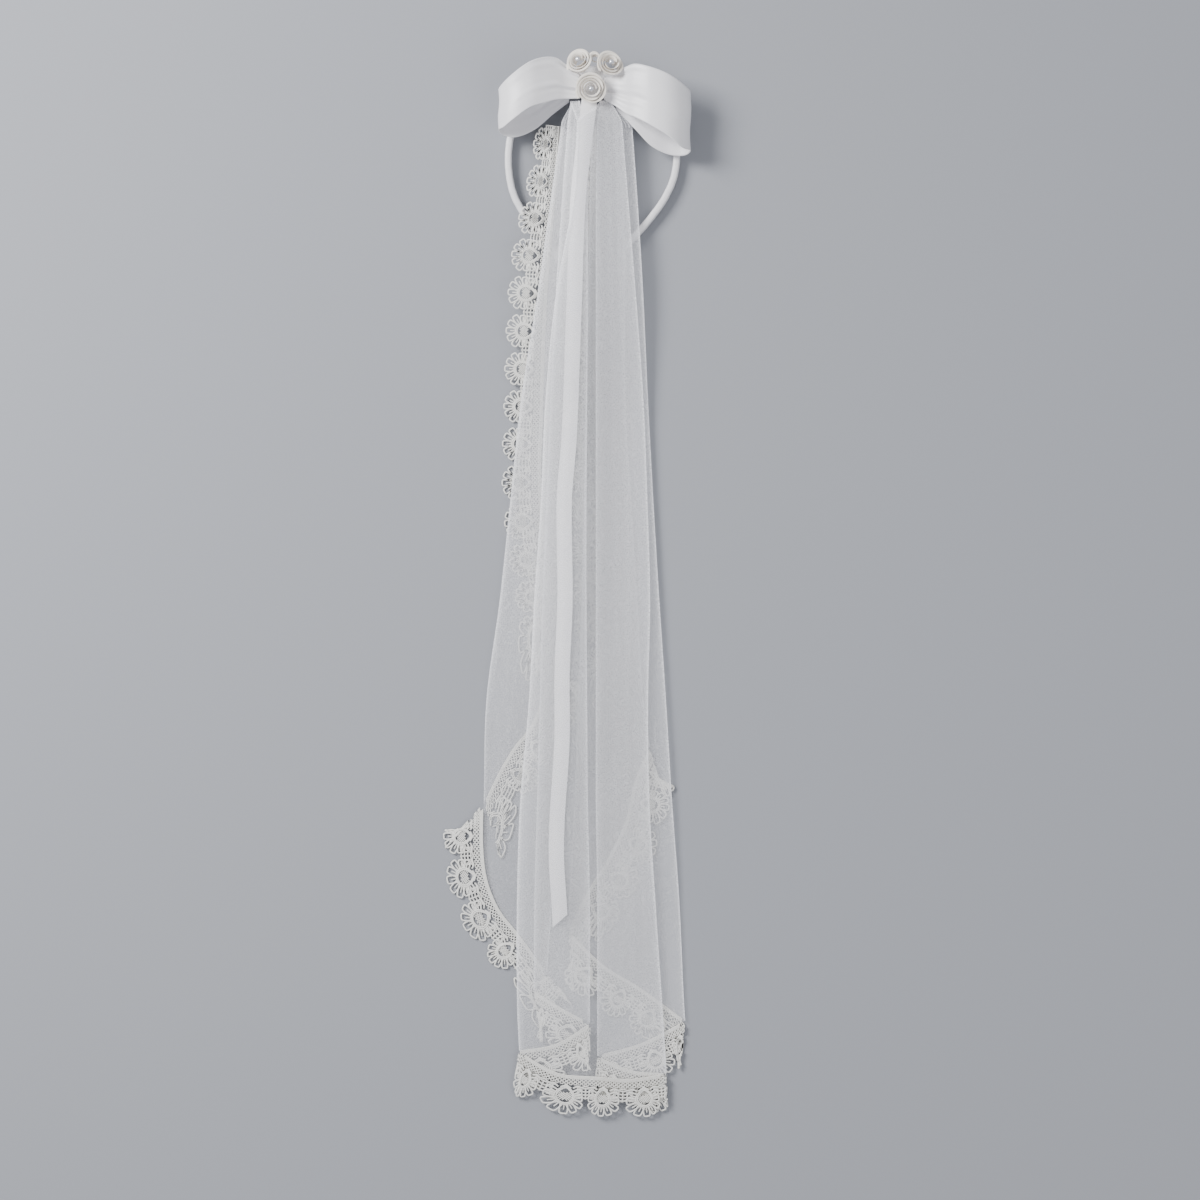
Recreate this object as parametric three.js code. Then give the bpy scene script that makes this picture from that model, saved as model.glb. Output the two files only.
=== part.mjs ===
// Communion veil laid flat: a satin-covered Alice band with a two-loop bow, rolled
// ribbon roses and a ribbon tail, and a tulle veil folded back and forth in passes,
// with guipure lace round its edge.  Millimetres, +Y towards the bow, +Z up from
// the surface that it lies on.
import * as THREE from 'three';

// ---------------------------------------------------------------- driving sizes
const CLOTH = 1.0;             // wall of tulle, lace and tail
const PITCH = 1.78;            // one cloth layer and the air above it
const SEAM_GAP = 1.6;          // lace to tulle, room for the flats along a curved hem
const SETTLE = 45;             // a layer sinks to the next one down over this distance
const BAND_THICK = 5.4;        // Alice band, seen from above
const BAND_TALL = 8.0;         // Alice band, standing on its edge
const BAND_LIFT = 8.6;         // the veil crosses the band's arms at this height
const LIFT_FROM = 246;         // below this Y the veil comes down off the band
const LIFT_TO = 110;           // and here it is on the surface
const TOP = 349;               // top edge of the laid passes
const SPLIT = -5;              // above this Y all passes share the same rows
const ROW = 23.6;               // spacing of rows down a pass
const COLUMN = 17;             // spacing of columns across a pass
const LACE_DEPTH = 30;         // seam to the tip of a scallop
const LACE_DEPTH_TOP = 19;     // the lace is drawn in where it is gathered
const LACE_FULL_BELOW = 235;   // it has its full depth below this Y
const SCALLOP = 28;            // length of one scallop along the seam
const NOTCH = 0.22;            // share of the depth lost between two scallops
const RIBBON = 1.2;            // wall of the bow's satin ribbon
const TAIL_WIDTH = 11.4;       // the free ribbon end
const WAIST_BOTTOM = 8.3;      // the bow's pinched middle sits on the band
const WAIST_TOP = 20.5;

// ---------------------------------------------------------------- the fold table
// The veil is one sheet.  Each row is the edge or fold between two passes: its side,
// its X at each of the heights in FOLD_Y, and where it meets the hem seam.
const FOLD_Y = [350, 295, 220, 145, 70, -5, -80, -155, -230, -305];
const FOLDS = [
  { name: 'left edge', x: [-10, -14, -20, -23, -24, -14], end: [-13, -14] },
  { name: 'right 1', x: [0, -2, -5, -7, -9, -11], end: [-12, -42] },
  { name: 'left 1', x: [-9.5, -17.5, -28, -40, -48, -56, -66, -68], end: [-68, -157] },
  { name: 'right 2', x: [5.5, 4, 1, -2, -5, -8, -11, -14, -17], end: [-20.5, -284] },
  { name: 'left 2', x: [-5, -9, -14, -18, -21, -24, -26, -28, -30], end: [-30.5, -297] },
  { name: 'right 3', x: [10, 10, 10, 9.5, 9, 9, 9.5, 10, 11.5, 11.5], end: [11.5, -321] },
  { name: 'left 3', x: [2, -1, -14, -21.5, -25, -30, -34, -40.5, -43, -43], end: [-41.5, -342] },
  { name: 'right 4', x: [35.5, 40, 46, 51.5, 54.5, 56.5, 55, 56, 60.5, 65.5], end: [69, -359] },
  { name: 'left 4', x: [17, 16, 16, 16, 16, 16, 16, 16, 17, 17], end: [17, -346] },
  { name: 'right 5', x: [43, 47, 51.5, 55, 59, 63.5, 68.5, 73, 78.5, 82], end: [83, -320] },
  { name: 'left 5', x: [13, 11.5, 10, 8.5, 7, 5.5, 2.5, 0, -4], end: [-5, -252] },
  { name: 'right 6', x: [36.5, 37, 38, 38, 42.5, 47, 51.5], end: [56.5, -114] },
  { name: 'right edge', x: [17.5, 17, 17, 17.5, 23.5, 29, 43], end: [49, -99] },
];
// Where the hem seam of each pass runs between its two folds.
const HEMS = [
  { pass: 0, through: [] },
  { pass: 1, through: [[-33, -99], [-45, -114], [-56, -132]] },
  { pass: 2, through: [[-68, -192], [-65, -215], [-56, -237], [-41, -256]] },
  { pass: 3, through: [] },
  { pass: 4, through: [[-11, -309]] },
  { pass: 5, through: [[-14.5, -337]] },
  { pass: 6, through: [[-26, -352], [-11, -359], [15, -361], [42, -363]] },
  { pass: 7, through: [[43, -357]] },
  { pass: 8, through: [[49, -337]] },
  { pass: 9, through: [[49, -295], [23, -279]] },
  { pass: 10, through: [[12, -219], [24, -200], [38, -170], [45, -140]] },
  { pass: 11, through: [] },
];
// From the surface upwards.  'tail' is the free ribbon, under the front pass.
const STACK = [0, 11, 1, 10, 2, 9, 3, 8, 4, 7, 5, 'tail', 6];

// Centre line of the ribbon tail, from the bow down.
const TAIL = [
  [10.2, 358], [7, 332], [3, 295], [-0.5, 205], [-4, 115], [-7.5, 70], [-7, -5],
  [-9.2, -60], [-9.3, -110], [-13, -170], [-13.4, -200], [-11.5, -230], [-11, -240],
];
const TAIL_POINT = 9;          // the cut end is a slanted point this long

// Centre line of the Alice band, from its left tip to its right tip.
const BAND = [
  [-10.9, 249.4], [-25, 268], [-38.6, 285.4], [-46.1, 300.4], [-49.5, 321.4], [-48, 341],
  [-41.6, 361.1], [-27.4, 379.1], [-9.4, 388.1], [13.1, 391.1], [37.1, 388.1], [56.6, 376.9],
  [70.1, 358.9], [76.1, 336.4], [75, 314], [67.5, 295.9], [54.4, 277.9], [40, 262], [25.9, 248.6],
];

// The bow's loops: ribbon centre, height and width at stations round each loop, out
// along the upper wall and back along the lower one.
const LOOPS = {
  bow_loop_left: [
    { x: -7, y: 380, z: 19.5, width: 25 }, { x: -13, y: 382, z: 25, width: 31 },
    { x: -22, y: 380.5, z: 30, width: 34 }, { x: -33, y: 376.5, z: 34, width: 34 },
    { x: -44, y: 369, z: 33, width: 34 }, { x: -52.5, y: 362.5, z: 28, width: 33 },
    { x: -56.4, y: 359.5, z: 21, width: 30 }, { x: -53, y: 357.5, z: 14.5, width: 32 },
    { x: -44, y: 358.5, z: 11.6, width: 36 }, { x: -30, y: 364, z: 11.4, width: 36 },
    { x: -16, y: 373, z: 12.4, width: 31 }, { x: -7, y: 379, z: 14, width: 25 },
  ],
  bow_loop_right: [
    { x: 35.5, y: 376, z: 17.6, width: 27 }, { x: 39.5, y: 373.5, z: 24, width: 34 },
    { x: 45, y: 372.5, z: 31, width: 39.5 }, { x: 56, y: 368, z: 35.5, width: 43 },
    { x: 69, y: 361.5, z: 35.5, width: 46 }, { x: 79.5, y: 354.5, z: 30, width: 48 },
    { x: 86, y: 351, z: 22.5, width: 44 }, { x: 82, y: 349.5, z: 15.5, width: 46 },
    { x: 72, y: 350, z: 13.4, width: 46 }, { x: 58, y: 355.5, z: 15.5, width: 45 },
    { x: 46, y: 364, z: 16.6, width: 38 }, { x: 37, y: 374, z: 14.6, width: 28 },
  ],
};

// Rolled ribbon roses: centre of the base, radius, height, lean away from upright
// in degrees and the direction of that lean.
const ROSES = [
  { name: 'rose_front', x: 12.6, y: 374.8, z: 24.6, radius: 11.4, tall: 9, lean: 8, towards: -90 },
  { name: 'rose_left', x: 5.0, y: 393.0, z: 24.2, radius: 9.8, tall: 8.5, lean: 30, towards: 130 },
  { name: 'rose_right', x: 25.6, y: 391.4, z: 24.2, radius: 9.8, tall: 8.5, lean: 24, towards: 50 },
  { name: 'rose_back', x: 15.6, y: 398.4, z: 13.5, radius: 4.6, tall: 5, lean: 15, towards: 90 },
];
const ROSE_TURNS = 3;
const ROSE_EYE = 3.4;          // radius of the space in the middle, for the stone
const STONE = 2.0;             // radius of the stones

const satin = new THREE.MeshStandardMaterial({ color: 0xf4f2f3, roughness: 0.38, metalness: 0 });
const band = new THREE.MeshStandardMaterial({ color: 0xf1eff2, roughness: 0.42, metalness: 0 });
const roseSatin = new THREE.MeshStandardMaterial({ color: 0xf7f2e8, roughness: 0.45, metalness: 0 });
const tulle = new THREE.MeshStandardMaterial({ color: 0xe9e8f2, roughness: 0.8, metalness: 0 });
const lace = new THREE.MeshStandardMaterial({ color: 0xf6f3ea, roughness: 0.75, metalness: 0 });
const crystal = new THREE.MeshStandardMaterial({ color: 0xdfe4ee, roughness: 0.08, metalness: 0.1 });

const veil = new THREE.Group();

// ---------------------------------------------------------------- helpers
const clamp = (value, low, high) => Math.min(high, Math.max(low, value));
const smooth = (t) => {
  const c = clamp(t, 0, 1);
  return c * c * (3 - 2 * c);
};
const vec2 = ([x, y]) => new THREE.Vector2(x, y);

function addPiece(name, geometry, material) {
  const mesh = new THREE.Mesh(geometry, material);
  mesh.name = name;
  veil.add(mesh);
  return mesh;
}

// A closed wall between a grid of points and the same grid moved by shift(i, j).
function wall(grid, shift) {
  const rows = grid.length;
  const columns = grid[0].length;
  const near = grid.flat();
  const far = grid.flatMap((row, i) => row.map((p, j) => p.clone().add(shift(i, j))));
  const at = (i, j, side) => side * rows * columns + i * columns + j;
  const triangles = [];
  const quad = (a, b, c, d) => triangles.push(a, b, c, a, c, d);
  for (let i = 0; i < rows - 1; i += 1) {
    for (let j = 0; j < columns - 1; j += 1) {
      quad(at(i, j, 1), at(i, j + 1, 1), at(i + 1, j + 1, 1), at(i + 1, j, 1));
      quad(at(i, j, 0), at(i + 1, j, 0), at(i + 1, j + 1, 0), at(i, j + 1, 0));
    }
    quad(at(i, 0, 0), at(i, 0, 1), at(i + 1, 0, 1), at(i + 1, 0, 0));
    quad(at(i, columns - 1, 0), at(i + 1, columns - 1, 0), at(i + 1, columns - 1, 1), at(i, columns - 1, 1));
  }
  for (let j = 0; j < columns - 1; j += 1) {
    quad(at(0, j, 0), at(0, j + 1, 0), at(0, j + 1, 1), at(0, j, 1));
    quad(at(rows - 1, j, 0), at(rows - 1, j, 1), at(rows - 1, j + 1, 1), at(rows - 1, j + 1, 0));
  }
  const points = [...near, ...far];
  let volume = 0;
  for (let t = 0; t < triangles.length; t += 3) {
    const [a, b, c] = [points[triangles[t]], points[triangles[t + 1]], points[triangles[t + 2]]];
    volume += a.dot(b.clone().cross(c));
  }
  if (volume < 0) {
    triangles.reverse();
  }
  const geometry = new THREE.BufferGeometry();
  geometry.setAttribute('position', new THREE.Float32BufferAttribute(points.flatMap((p) => [p.x, p.y, p.z]), 3));
  geometry.setIndex(triangles);
  geometry.computeVertexNormals();
  return geometry;
}

// The normal of a grid at one point, times a thickness.
function thickness(grid, amount) {
  return (i, j) => {
    const row = (n) => grid[clamp(n, 0, grid.length - 1)];
    const down = row(i + 1)[j].clone().sub(row(i - 1)[j]);
    const last = grid[i].length - 1;
    const across = grid[i][Math.min(j + 1, last)].clone().sub(grid[i][Math.max(j - 1, 0)]);
    return down.cross(across).normalize().multiplyScalar(amount);
  };
}

// ---------------------------------------------------------------- folds, hems, passes
// X of a fold at a height, by a smooth curve through its row of the table.
function foldX(fold, y) {
  const ys = [...FOLD_Y.slice(0, fold.x.length), fold.end[1]];
  const xs = [...fold.x, fold.end[0]];
  const n = clamp(ys.findIndex((value) => value <= y), 1, ys.length - 1);
  const slope = (i) => {
    const a = Math.max(i - 1, 0);
    const b = Math.min(i + 1, ys.length - 1);
    return (xs[b] - xs[a]) / (ys[b] - ys[a]);
  };
  const span = ys[n] - ys[n - 1];
  const t = clamp((y - ys[n - 1]) / span, 0, 1);
  const cubic = t * t * (3 - 2 * t);
  return xs[n - 1] * (1 - cubic) + xs[n] * cubic
    + t * (1 - t) * span * ((1 - t) * slope(n - 1) - t * slope(n));
}

// Rows down a fold: shared heights as far as SPLIT, then even steps to the hem.
const sharedRows = Math.round((TOP - SPLIT) / ROW);
function foldPoints(fold, lowerRows) {
  const end = fold.end[1];
  const heights = [];
  for (let i = 0; i <= sharedRows; i += 1) {
    heights.push(TOP + (SPLIT - TOP) * i / sharedRows);
  }
  for (let i = 1; i <= lowerRows; i += 1) {
    heights.push(SPLIT + (end - SPLIT) * i / lowerRows);
  }
  return heights.map((y) => new THREE.Vector2(foldX(fold, y), y));
}

function curve2(points, count) {
  const through = points.map(([x, y]) => new THREE.Vector3(x, y, 0));
  const path = new THREE.CatmullRomCurve3(through, false, 'centripetal');
  return path.getSpacedPoints(count).map((p) => new THREE.Vector2(p.x, p.y));
}

function hemPoints(pass, count) {
  return curve2([FOLDS[pass].end, ...HEMS[pass].through, FOLDS[pass + 1].end], count);
}

// One pass, as rows of points: between its folds, bulging down to its hem.
function passGrid(pass) {
  const [a, b] = [FOLDS[pass], FOLDS[pass + 1]];
  const longest = SPLIT - Math.min(a.end[1], b.end[1]);
  const lowerRows = Math.max(2, Math.round(longest / ROW));
  const left = foldPoints(a, lowerRows);
  const right = foldPoints(b, lowerRows);
  const widest = Math.max(...left.map((p, i) => Math.abs(right[i].x - p.x)));
  const columns = Math.max(2, Math.round(widest / COLUMN));
  const hem = hemPoints(pass, columns);
  return left.map((p, i) => {
    const fade = (i / (left.length - 1)) ** 3;
    return hem.map((h, j) => {
      const s = j / columns;
      const flat = p.clone().lerp(right[i], s);
      const straight = vec2(a.end).lerp(vec2(b.end), s);
      return flat.add(h.clone().sub(straight).multiplyScalar(fade));
    });
  });
}

// ---------------------------------------------------------------- the lace
// The seam line of a pass: its hem, and the sheet's side edge on the end passes.
function seamLine(pass) {
  const edgeRows = FOLD_Y.filter((y) => y > 0 && y < TOP);
  const side = (fold) => [TOP, ...edgeRows, SPLIT].map((y) => [foldX(fold, y), y]);
  const ends = [FOLDS[pass].end, ...HEMS[pass].through, FOLDS[pass + 1].end];
  if (pass === 0) {
    return [...side(FOLDS[0]), ...ends];
  }
  return pass === FOLDS.length - 2 ? [...ends, ...side(FOLDS[12]).reverse()] : ends;
}

// Stations along a seam, with the direction across the lace.  The sheet is turned
// over at each fold, so that direction swaps sides from pass to pass.
const FEWEST_STATIONS = 6;
const seams = HEMS.map(({ pass }) => {
  const line = seamLine(pass);
  const path = new THREE.CatmullRomCurve3(line.map(([x, y]) => new THREE.Vector3(x, y, 0)), false, 'centripetal');
  const length = path.getLength();
  const count = Math.max(FEWEST_STATIONS, Math.round(length / (SCALLOP / 4)));
  const side = pass % 2 ? 1 : -1;
  const points = path.getSpacedPoints(count).map((p) => new THREE.Vector2(p.x, p.y));
  const across = points.map((p, i) => {
    const next = points[Math.min(i + 1, count)];
    const back = points[Math.max(i - 1, 0)];
    const travel = next.clone().sub(back).normalize();
    return new THREE.Vector2(-travel.y * side, travel.x * side);
  });
  return { pass, length, points, across };
});
const LEAN_OVER = 22;          // the lace leans into a fold over this distance
const MOST_LEAN = 0.85;        // by no more than this angle, in radians
const SHORT_STRETCH = 60;      // and by less on a stretch shorter than this
seams.forEach((seam, n) => {
  const start = seams.slice(0, n).reduce((sum, s) => sum + s.length, 0);
  const last = seam.points.length - 1;
  const lean = (mine, other) => {
    const half = Math.atan2(mine.cross(other), mine.dot(other)) / 2;
    const most = MOST_LEAN * Math.min(1, seam.length / SHORT_STRETCH);
    const turn = clamp(half, -most, most);
    return mine.clone().rotateAround(new THREE.Vector2(), turn).divideScalar(Math.cos(turn));
  };
  const first = n > 0 ? lean(seam.across[0], seams[n - 1].across.at(-1)) : seam.across[0];
  const final = n < seams.length - 1 ? lean(seam.across[last], seams[n + 1].across[0]) : seam.across[last];
  seam.outward = seam.across.map((direction, i) => {
    const run = seam.length * i / last;
    const atStart = 1 - smooth(run / Math.min(LEAN_OVER, seam.length / 2));
    const atEnd = 1 - smooth((seam.length - run) / Math.min(LEAN_OVER, seam.length / 2));
    return direction.clone().multiplyScalar(1 - atStart - atEnd)
      .addScaledVector(first, atStart).addScaledVector(final, atEnd);
  });
  seam.depth = seam.points.map((p, i) => {
    const along = (start + seam.length * i / last) / SCALLOP;
    const scallop = 1 - NOTCH * Math.cos(Math.PI * along) ** 2;
    const drawn = smooth((p.y - LACE_FULL_BELOW) / (TOP - LACE_FULL_BELOW));
    return scallop * (LACE_DEPTH + (LACE_DEPTH_TOP - LACE_DEPTH) * drawn);
  });
});

function laceGrid(seam) {
  return seam.points.map((p, i) => [SEAM_GAP / seam.depth[i], 0.5, 1].map(
    (share) => p.clone().addScaledVector(seam.outward[i], share * seam.depth[i]),
  ));
}

// ---------------------------------------------------------------- heights
function outline(grid) {
  const last = grid.length - 1;
  const end = grid[0].length - 1;
  return [
    ...grid[0], ...grid.slice(1, last).map((row) => row[end]),
    ...[...grid[last]].reverse(), ...grid.slice(1, last).map((row) => row[0]).reverse(),
  ];
}

// How far a point is outside an outline, zero inside it.
function outside(point, shape) {
  let nearest = Infinity;
  let inside = false;
  shape.forEach((a, i) => {
    const b = shape[(i + 1) % shape.length];
    const edge = b.clone().sub(a);
    const t = clamp(point.clone().sub(a).dot(edge) / Math.max(edge.lengthSq(), 1e-9), 0, 1);
    nearest = Math.min(nearest, point.distanceTo(a.clone().addScaledVector(edge, t)));
    if ((a.y > point.y) !== (b.y > point.y)) {
      inside = inside !== (point.x < a.x + edge.x * (point.y - a.y) / edge.y);
    }
  });
  return inside ? 0 : nearest;
}

const passes = HEMS.map(({ pass }) => passGrid(pass));
const laces = seams.map(laceGrid);
const tailLine = curve2(TAIL, 48);
const tailGrid = tailLine.map((p, i) => {
  const last = tailLine.length - 1;
  const travel = tailLine[Math.min(i + 1, last)].clone().sub(tailLine[Math.max(i - 1, 0)]).normalize();
  const right = new THREE.Vector2(-travel.y, travel.x);
  return [-0.5, 0, 0.5].map((share) => {
    const slant = i === last ? TAIL_POINT * (0.5 - share) : 0;
    return p.clone().addScaledVector(right, share * TAIL_WIDTH).addScaledVector(travel, slant);
  });
});
const covers = new Map(HEMS.map(({ pass }) => [pass, [outline(passes[pass]), outline(laces[pass])]]));
covers.set('tail', [outline(tailGrid)]);

// The height of a layer: the band it crosses, and every layer under it, each of
// which still lifts it for a little way beyond its own edge.
const lift = (y) => BAND_LIFT * smooth((y - LIFT_TO) / (LIFT_FROM - LIFT_TO));
function height(layer, point) {
  const under = STACK.slice(0, STACK.indexOf(layer));
  const carried = under.map((other) => {
    const distance = Math.min(...covers.get(other).map((shape) => outside(point, shape)));
    return 1 - smooth(distance / SETTLE);
  });
  return lift(point.y) + PITCH * carried.reduce((sum, c) => sum + c, 0);
}

function lay(layer, grid) {
  const raised = grid.map((row) => row.map((p) => new THREE.Vector3(p.x, p.y, height(layer, p))));
  return wall(raised, () => new THREE.Vector3(0, 0, CLOTH));
}

HEMS.forEach(({ pass }) => {
  addPiece(`tulle_pass_${pass}`, lay(pass, passes[pass]), tulle);
  addPiece(`lace_stretch_${pass}`, lay(pass, laces[pass]), lace);
});
addPiece('ribbon_tail', lay('tail', tailGrid), satin);

// ---------------------------------------------------------------- the Alice band
function roundedSection(wide, tall, corner) {
  const shape = new THREE.Shape();
  const [w, h] = [wide / 2, tall / 2];
  shape.moveTo(-w + corner, -h);
  shape.lineTo(w - corner, -h);
  shape.quadraticCurveTo(w, -h, w, -h + corner);
  shape.lineTo(w, h - corner);
  shape.quadraticCurveTo(w, h, w - corner, h);
  shape.lineTo(-w + corner, h);
  shape.quadraticCurveTo(-w, h, -w, h - corner);
  shape.lineTo(-w, -h + corner);
  shape.quadraticCurveTo(-w, -h, -w + corner, -h);
  return shape;
}
const bandPath = new THREE.CatmullRomCurve3(
  BAND.map(([x, y]) => new THREE.Vector3(x, y, BAND_TALL / 2)), false, 'centripetal',
);
const bandGeometry = new THREE.ExtrudeGeometry(roundedSection(BAND_TALL, BAND_THICK, 1.6), {
  steps: 46, curveSegments: 2, extrudePath: bandPath,
});
addPiece('headband', bandGeometry, band);

// ---------------------------------------------------------------- the bow
const LOOP_STEPS = 28;
const RIBBON_COLUMNS = 4;
Object.entries(LOOPS).forEach(([name, stations]) => {
  const along = (pick) => new THREE.CatmullRomCurve3(stations.map(pick), false, 'centripetal');
  const centre = along(({ x, y, z }) => new THREE.Vector3(x, y, z));
  const width = new THREE.SplineCurve(stations.map((s, i) => new THREE.Vector2(i, s.width)));
  const grid = [];
  for (let i = 0; i <= LOOP_STEPS; i += 1) {
    const t = i / LOOP_STEPS;
    const middle = centre.getPoint(t);
    const wide = width.getPoint(t).y;
    const row = [];
    for (let j = 0; j <= RIBBON_COLUMNS; j += 1) {
      row.push(middle.clone().add(new THREE.Vector3(0, (j / RIBBON_COLUMNS - 0.5) * wide, 0)));
    }
    grid.push(row);
  }
  addPiece(name, wall(grid, thickness(grid, RIBBON)), satin);
});

// The pinched middle of the bow, over the band, that the roses are sewn to.
const waistShape = new THREE.Shape();
waistShape.absellipse(0, 0, 18, 12.5, 0, Math.PI * 2);
const waist = new THREE.ExtrudeGeometry(waistShape, {
  depth: WAIST_TOP - WAIST_BOTTOM - 4, bevelEnabled: true, bevelThickness: 2, bevelSize: 2,
  bevelOffset: -2, bevelSegments: 2, curveSegments: 10,
});
const waistMesh = addPiece('bow_waist', waist, satin);
waistMesh.position.set(13.2, 381, WAIST_BOTTOM + 2);

// The gathered heading of the veil, one bunch each side of the ribbon tail.
const HEADINGS = [
  { name: 'heading_left', top: [-3, 4.2], foot: [-10, 0.6], low: 9, high: 17 },
  { name: 'heading_right', top: [19, 28], foot: [18, 42], low: 9, high: 16 },
];
HEADINGS.forEach(({ name, top, foot, low, high }) => {
  const rows = [0, 1 / 3, 2 / 3, 1];
  const grid = rows.map((t) => [0, 1, 2, 3, 4].map((j) => {
    const spread = smooth(t);
    const left = top[0] + (foot[0] - top[0]) * spread;
    const right = top[1] + (foot[1] - top[1]) * spread;
    return new THREE.Vector3(left + (right - left) * j / 4, 366.8 - 17.2 * t, low);
  }));
  addPiece(name, wall(grid, (i, j) => new THREE.Vector3(0, 0, (high - low) * (1 - 0.35 * Math.abs(j - 2) / 2))), tulle);
});

// ---------------------------------------------------------------- roses and stones
const ROSE_STEPS = 34;
ROSES.forEach(({ name, x, y, z, radius, tall, lean, towards }) => {
  const eye = Math.min(ROSE_EYE, radius * 0.45);
  const turns = ROSE_TURNS * clamp((radius - eye) / 7.2, 0.3, 1);
  const grid = [];
  for (let i = 0; i <= ROSE_STEPS; i += 1) {
    const t = i / ROSE_STEPS;
    const angle = t * turns * Math.PI * 2;
    const reach = eye + (radius - eye - 1) * t;
    const petal = Math.abs(Math.sin(angle * 1.25));
    const top = tall * (1 - 0.45 * t) + 1.2 * petal;
    grid.push([0, 0.5, 1].map((up) => {
      const flare = reach + up * up * (0.2 + t);
      return new THREE.Vector3(Math.cos(angle) * flare, Math.sin(angle) * flare, up * top);
    }));
  }
  const geometry = wall(grid, thickness(grid, CLOTH));
  const axis = new THREE.Vector3(-Math.sin(towards * Math.PI / 180), Math.cos(towards * Math.PI / 180), 0);
  const rose = addPiece(name, geometry, roseSatin);
  rose.position.set(x, y, z);
  rose.quaternion.setFromAxisAngle(axis, lean * Math.PI / 180);
  if (radius > STONE * 4) {
    const stone = addPiece(name.replace('rose', 'stone'), new THREE.IcosahedronGeometry(STONE, 1), crystal);
    const up = new THREE.Vector3(0, 0, tall - 1).applyQuaternion(rose.quaternion);
    stone.position.set(x + up.x, y + up.y, z + up.z);
  }
});

// The origin is under the middle of the whole piece, on the surface.
const box = new THREE.Box3().setFromObject(veil, true);
const middle = box.getCenter(new THREE.Vector3());
veil.position.set(-middle.x, -middle.y, -box.min.z);

export default veil;
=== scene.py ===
# %% [markdown]
# # A communion veil, folded and laid flat
# The veil is one sheet of fine tulle.  It is gathered under a satin bow on a narrow
# headband, folded back and forth in long passes, and edged all round with a daisy
# lace.  A cloth simulation could drop such a sheet, but it wouldn't land in these
# folds, so each piece is built as a mesh from a short table of its own folds.

# %% Load the frame
import math
import random

import bpy
import numpy as np
from mathutils import Matrix, Vector


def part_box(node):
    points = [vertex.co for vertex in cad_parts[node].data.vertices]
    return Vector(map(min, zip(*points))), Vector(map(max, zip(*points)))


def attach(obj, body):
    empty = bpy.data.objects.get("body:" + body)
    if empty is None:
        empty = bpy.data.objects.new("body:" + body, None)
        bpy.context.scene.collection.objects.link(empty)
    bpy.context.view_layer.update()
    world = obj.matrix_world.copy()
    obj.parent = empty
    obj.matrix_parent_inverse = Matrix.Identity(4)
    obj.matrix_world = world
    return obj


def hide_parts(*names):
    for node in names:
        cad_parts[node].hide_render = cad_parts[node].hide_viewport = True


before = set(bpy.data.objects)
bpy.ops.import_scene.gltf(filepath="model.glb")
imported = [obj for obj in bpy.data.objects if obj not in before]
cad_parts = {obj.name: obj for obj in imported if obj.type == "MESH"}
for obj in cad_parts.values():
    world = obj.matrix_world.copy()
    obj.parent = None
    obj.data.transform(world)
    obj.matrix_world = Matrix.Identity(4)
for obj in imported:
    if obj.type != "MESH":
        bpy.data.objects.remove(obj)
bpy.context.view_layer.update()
MM = 0.001
rng = random.Random(7)

# %% [markdown]
# ## One origin for all the tables
# The tables below are in millimetres from a point near the middle of the veil.  The
# stone in the front rose is small and its place is known in both systems, so the
# difference between the two gives the shift for everything else.

# %% Find the shift
STONE_PLACE = (12.6, 373.7)
low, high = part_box("stone_front")
SHIFT = np.array([
    (low[0] + high[0]) / 2 / MM - STONE_PLACE[0],
    (low[1] + high[1]) / 2 / MM - STONE_PLACE[1],
    0.0,
])
print("shift in millimetres:", SHIFT.round(2))

# %% [markdown]
# ## From points to objects
# Every piece here is a grid: rows of points along the cloth and columns across it.
# Blender could skin curves or drape a plane for the same result.  Grids are used
# because the points stay in our hands, so two pieces can share an edge or a height.

# %% Turn lists of points into objects
def piece(name, points, faces, material, smooth=True):
    mesh = bpy.data.meshes.new(name)
    places = (np.asarray(points, dtype=float) + SHIFT) * MM
    mesh.from_pydata([tuple(p) for p in places], [], [tuple(int(i) for i in f) for f in faces])
    mesh.materials.append(material)
    mesh.polygons.foreach_set("use_smooth", [smooth] * len(mesh.polygons))
    mesh.update()
    thing = bpy.data.objects.new(name, mesh)
    bpy.context.collection.objects.link(thing)
    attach(thing, "root")
    return thing


def grid_faces(rows, columns, first=0, closed=False):
    across = columns if closed else columns - 1
    return [
        (first + i * columns + j, first + i * columns + (j + 1) % columns,
         first + (i + 1) * columns + (j + 1) % columns, first + (i + 1) * columns + j)
        for i in range(rows - 1) for j in range(across)
    ]

# %% Smooth steps and smooth lines
FINE_STEPS = 24       # points between two given ones, before they are spaced evenly


def smoothstep(t):
    t = np.clip(t, 0.0, 1.0)
    return t * t * (3 - 2 * t)


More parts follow.
